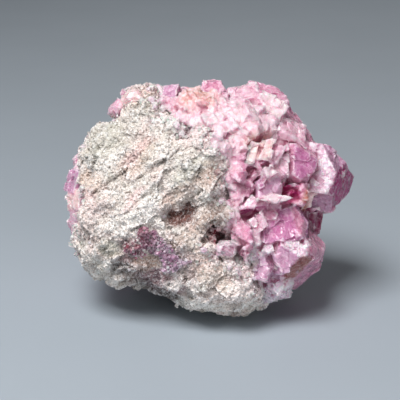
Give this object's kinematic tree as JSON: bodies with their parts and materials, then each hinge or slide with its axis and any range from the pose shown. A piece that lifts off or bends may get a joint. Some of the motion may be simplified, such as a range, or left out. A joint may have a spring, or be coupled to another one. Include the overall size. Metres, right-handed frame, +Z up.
{
  "type": "cobaltocalcite in matrix",
  "caption": "Mineral specimen: pale granular matrix whose right side, top and back carry a crust of intergrown pink cobaltoan calcite crystals.",
  "frame": {"origin": "on the surface that the specimen rests on, under the middle of its box", "axes": "+Z up, +X to the right as seen from the show side, the show side faces -Y"},
  "size_m": [0.0626, 0.0484, 0.0495],
  "materials": {
    "matrix_rock": "granular, broken, dull",
    "pink_calcite": "glassy crystal faces with frosted patches",
    "violet_druse": "fine sparkling crystals"
  },
  "bodies": {
    "root": {"matrix": "matrix_rock", "calcite_crust": "pink_calcite", "hollow_druse": "violet_druse"}
  },
  "joints": []
}
